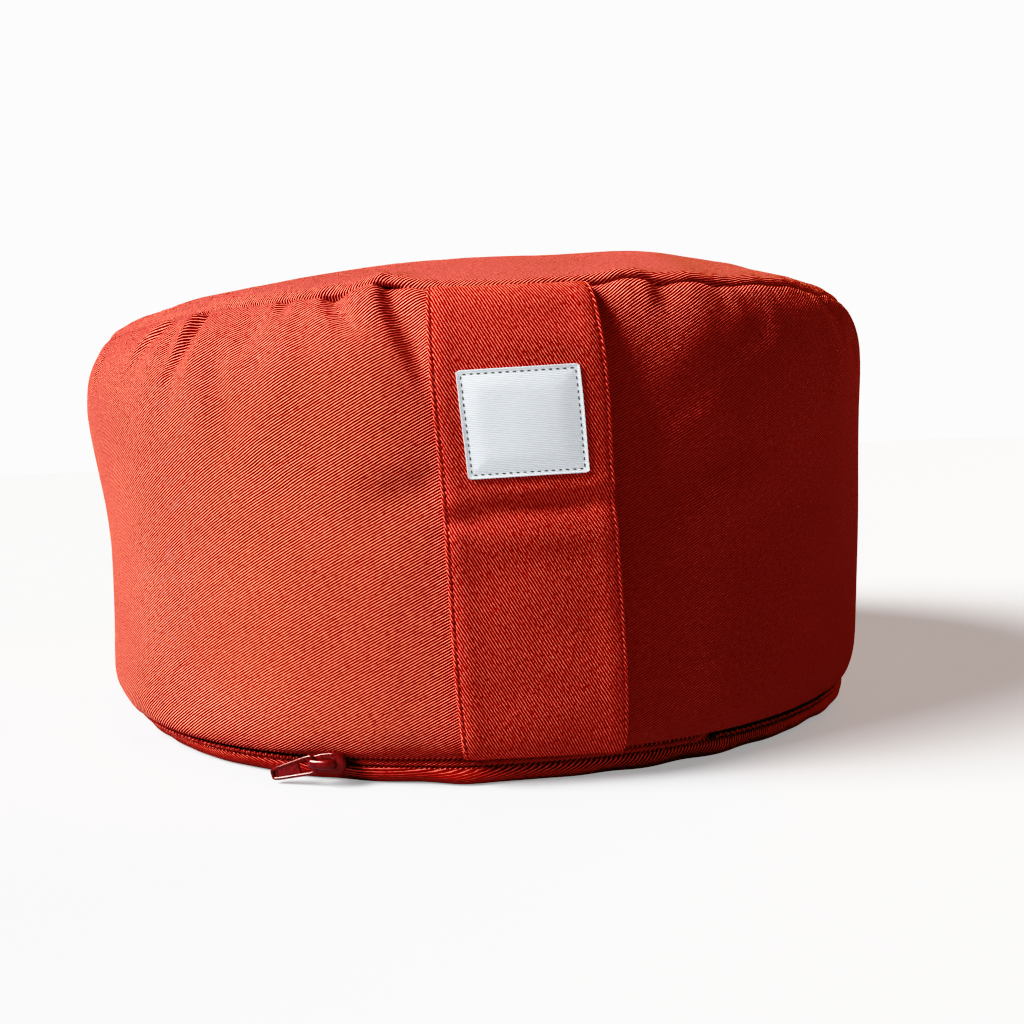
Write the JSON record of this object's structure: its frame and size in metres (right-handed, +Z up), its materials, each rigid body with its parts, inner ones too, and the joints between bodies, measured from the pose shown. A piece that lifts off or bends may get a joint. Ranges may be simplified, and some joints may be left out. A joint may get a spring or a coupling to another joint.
{
  "type": "round meditation cushion",
  "caption": "Round filled meditation cushion in a red-orange twill cover, with a flat carrying strap down one side, a bare sewn patch on it and a zip round the lower edge.",
  "frame": {"origin": "middle of the flat base, on the surface that the cushion rests on", "axes": "+Z up through the middle of the top panel, -Y towards the carrying strap, +X to the right of a person who faces the strap"},
  "size_m": [0.34, 0.3463, 0.1842],
  "materials": {
    "cover_twill": "cotton twill",
    "strap_twill": "cotton twill, folded and top-stitched",
    "patch_weave": "white woven satin",
    "zip_tape": "woven zip tape",
    "zip_coil": "nylon coil",
    "zip_metal": "painted die-cast metal"
  },
  "bodies": {
    "root": {"cushion": "cover_twill", "handle_strap": "strap_twill", "label": "patch_weave", "zip_tape_upper": "zip_tape", "zip_tape_lower": "zip_tape", "zip_coil": "zip_coil", "zip_slider": "zip_metal", "zip_pull": "zip_metal"}
  },
  "joints": []
}
